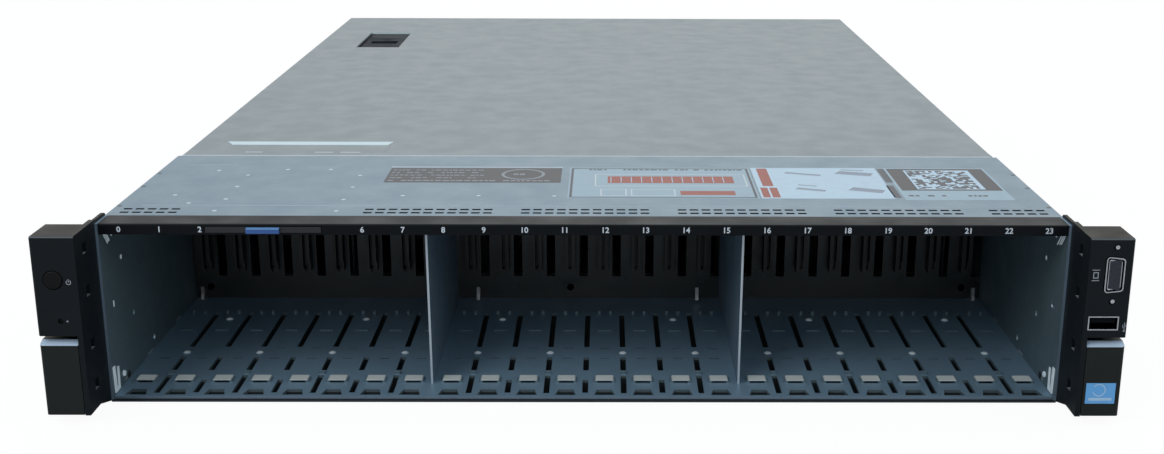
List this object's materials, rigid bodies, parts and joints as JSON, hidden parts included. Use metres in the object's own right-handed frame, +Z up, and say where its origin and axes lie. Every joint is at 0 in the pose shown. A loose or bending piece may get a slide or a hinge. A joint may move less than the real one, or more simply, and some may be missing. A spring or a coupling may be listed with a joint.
{
  "type": "rack server",
  "caption": "Low two-unit rack server with rows of upright open drive bays, rack ears with slam latches, vented sliding cover and twin pull-out power supplies.",
  "frame": {"origin": "middle of the overall box at its underside", "axes": "+X to the right seen from the front, +Y from the front to the rear, +Z up"},
  "size_m": [0.4836, 0.7362, 0.0887],
  "materials": {
    "galvanised_steel": "satin zinc coat",
    "cage_steel": "satin zinc coat",
    "black_plastic": "fine matte texture",
    "button_plastic": "satin",
    "blue_plastic": "satin",
    "tag_plastic": "satin",
    "circuit_board": "solder mask",
    "socket_plastic": "matte",
    "port_metal": "bright plated",
    "stud_steel": "plain",
    "fan_plastic": "matte",
    "shroud_plastic": "matte",
    "sink_aluminium": "plain",
    "supply_steel": "satin zinc coat",
    "orange_plastic": "satin"
  },
  "bodies": {
    "chassis": {"chassis_base": "galvanised_steel", "rear_panel": "galvanised_steel", "drive_cage": "cage_steel", "bay_divider_left": "cage_steel", "bay_divider_right": "cage_steel", "front_header": "black_plastic", "front_top_plate": "galvanised_steel", "tag_holder": "galvanised_steel", "backplane_board": "circuit_board", "backplane_connectors": "socket_plastic", "backplane_guides": "galvanised_steel", "rail_studs": "stud_steel", "ear_housing_left": "black_plastic", "ear_housing_right": "black_plastic", "latch_pins": "stud_steel", "rack_screws": "stud_steel", "front_video_port": "port_metal", "fan_cage": "galvanised_steel", "air_shroud": "shroud_plastic", "system_board": "circuit_board", "board_standoffs": "stud_steel", "cpu_sockets": "socket_plastic", "heat_sinks": "sink_aluminium", "memory_sockets": "socket_plastic", "memory_modules": "circuit_board", "riser_boards": "circuit_board", "slot_covers": "galvanised_steel", "rear_d_ports": "port_metal", "usb_ports": "port_metal", "network_ports": "port_metal", "supply_cage": "galvanised_steel", "fan_frame_1": "fan_plastic", "fan_frame_2": "fan_plastic", "fan_frame_3": "fan_plastic", "fan_frame_4": "fan_plastic", "fan_frame_5": "fan_plastic", "fan_frame_6": "fan_plastic"},
    "tag": {"information_tag": "tag_plastic", "tag_pull": "blue_plastic"},
    "lever_left": {"latch_lever_left": "black_plastic"},
    "lever_right": {"latch_lever_right": "black_plastic"},
    "power_key": {"power_button": "button_plastic"},
    "service_key": {"service_button": "button_plastic"},
    "cover": {"top_cover": "galvanised_steel", "latch_well": "galvanised_steel", "latch_pin": "stud_steel"},
    "cover_lever": {"cover_latch": "black_plastic"},
    "cover_lock": {"latch_lock": "stud_steel"},
    "rotor_1": {"fan_rotor_1": "fan_plastic"},
    "rotor_2": {"fan_rotor_2": "fan_plastic"},
    "rotor_3": {"fan_rotor_3": "fan_plastic"},
    "rotor_4": {"fan_rotor_4": "fan_plastic"},
    "rotor_5": {"fan_rotor_5": "fan_plastic"},
    "rotor_6": {"fan_rotor_6": "fan_plastic"},
    "supply_1": {"power_supply_1": "supply_steel"},
    "supply_rotor_1": {"supply_fan_1": "fan_plastic"},
    "supply_tab_1": {"supply_release_1": "orange_plastic"},
    "supply_2": {"power_supply_2": "supply_steel"},
    "supply_rotor_2": {"supply_fan_2": "fan_plastic"},
    "supply_tab_2": {"supply_release_2": "orange_plastic"}
  },
  "joints": [
    {"name": "tag_slide", "type": "slide", "parent": "chassis", "child": "tag", "axis": [0, -1, 0], "range_m": [0, 0.07]},
    {"name": "lever_left_hinge", "type": "hinge", "parent": "chassis", "child": "lever_left", "pos_m": [-0.2316, -0.36365, 0.0083], "axis": [1, 0, 0], "range_deg": [0, 45]},
    {"name": "lever_right_hinge", "type": "hinge", "parent": "chassis", "child": "lever_right", "pos_m": [0.2316, -0.36365, 0.0083], "axis": [1, 0, 0], "range_deg": [0, 45]},
    {"name": "power_press", "type": "slide", "parent": "chassis", "child": "power_key", "axis": [0, 1, 0], "range_m": [0, 0.0015], "stiffness_N_per_m": 400},
    {"name": "service_press", "type": "slide", "parent": "chassis", "child": "service_key", "axis": [0, 1, 0], "range_m": [0, 0.0008], "stiffness_N_per_m": 300},
    {"name": "cover_slide", "type": "slide", "parent": "chassis", "child": "cover", "axis": [0, 1, 0], "range_m": [0, 0.01]},
    {"name": "cover_lever_turn", "type": "hinge", "parent": "cover", "child": "cover_lever", "pos_m": [-0.17125, 0.18005, 0.0826], "axis": [1, 0, 0], "range_deg": [0, 80]},
    {"name": "cover_lock_turn", "type": "hinge", "parent": "cover_lever", "child": "cover_lock", "pos_m": [-0.17125, 0.22805, 0.084], "axis": [0, 0, 1], "range_deg": [0, 90]},
    {"name": "fan_spin_1", "type": "hinge", "parent": "chassis", "child": "rotor_1", "pos_m": [-0.175, -0.12495, 0.0324], "axis": [0, 1, 0], "continuous": true},
    {"name": "fan_spin_2", "type": "hinge", "parent": "chassis", "child": "rotor_2", "pos_m": [-0.105, -0.12495, 0.0324], "axis": [0, 1, 0], "continuous": true},
    {"name": "fan_spin_3", "type": "hinge", "parent": "chassis", "child": "rotor_3", "pos_m": [-0.035, -0.12495, 0.0324], "axis": [0, 1, 0], "continuous": true},
    {"name": "fan_spin_4", "type": "hinge", "parent": "chassis", "child": "rotor_4", "pos_m": [0.035, -0.12495, 0.0324], "axis": [0, 1, 0], "continuous": true},
    {"name": "fan_spin_5", "type": "hinge", "parent": "chassis", "child": "rotor_5", "pos_m": [0.105, -0.12495, 0.0324], "axis": [0, 1, 0], "continuous": true},
    {"name": "fan_spin_6", "type": "hinge", "parent": "chassis", "child": "rotor_6", "pos_m": [0.175, -0.12495, 0.0324], "axis": [0, 1, 0], "continuous": true},
    {"name": "supply_slide_1", "type": "slide", "parent": "chassis", "child": "supply_1", "axis": [0, 1, 0], "range_m": [0, 0.2]},
    {"name": "supply_fan_spin_1", "type": "hinge", "parent": "supply_1", "child": "supply_rotor_1", "pos_m": [-0.1493, 0.33505, 0.02125], "axis": [0, 1, 0], "continuous": true},
    {"name": "supply_tab_press_1", "type": "slide", "parent": "supply_1", "child": "supply_tab_1", "axis": [1, 0, 0], "range_m": [0, 0.0025], "stiffness_N_per_m": 400},
    {"name": "supply_slide_2", "type": "slide", "parent": "chassis", "child": "supply_2", "axis": [0, 1, 0], "range_m": [0, 0.2]},
    {"name": "supply_fan_spin_2", "type": "hinge", "parent": "supply_2", "child": "supply_rotor_2", "pos_m": [-0.0603, 0.33505, 0.02125], "axis": [0, 1, 0], "continuous": true},
    {"name": "supply_tab_press_2", "type": "slide", "parent": "supply_2", "child": "supply_tab_2", "axis": [1, 0, 0], "range_m": [0, 0.0025], "stiffness_N_per_m": 400}
  ],
  "couplings": [
    {"joint": "cover_lever_turn", "follows": "cover_slide", "rad_per_m": 139.63}
  ]
}
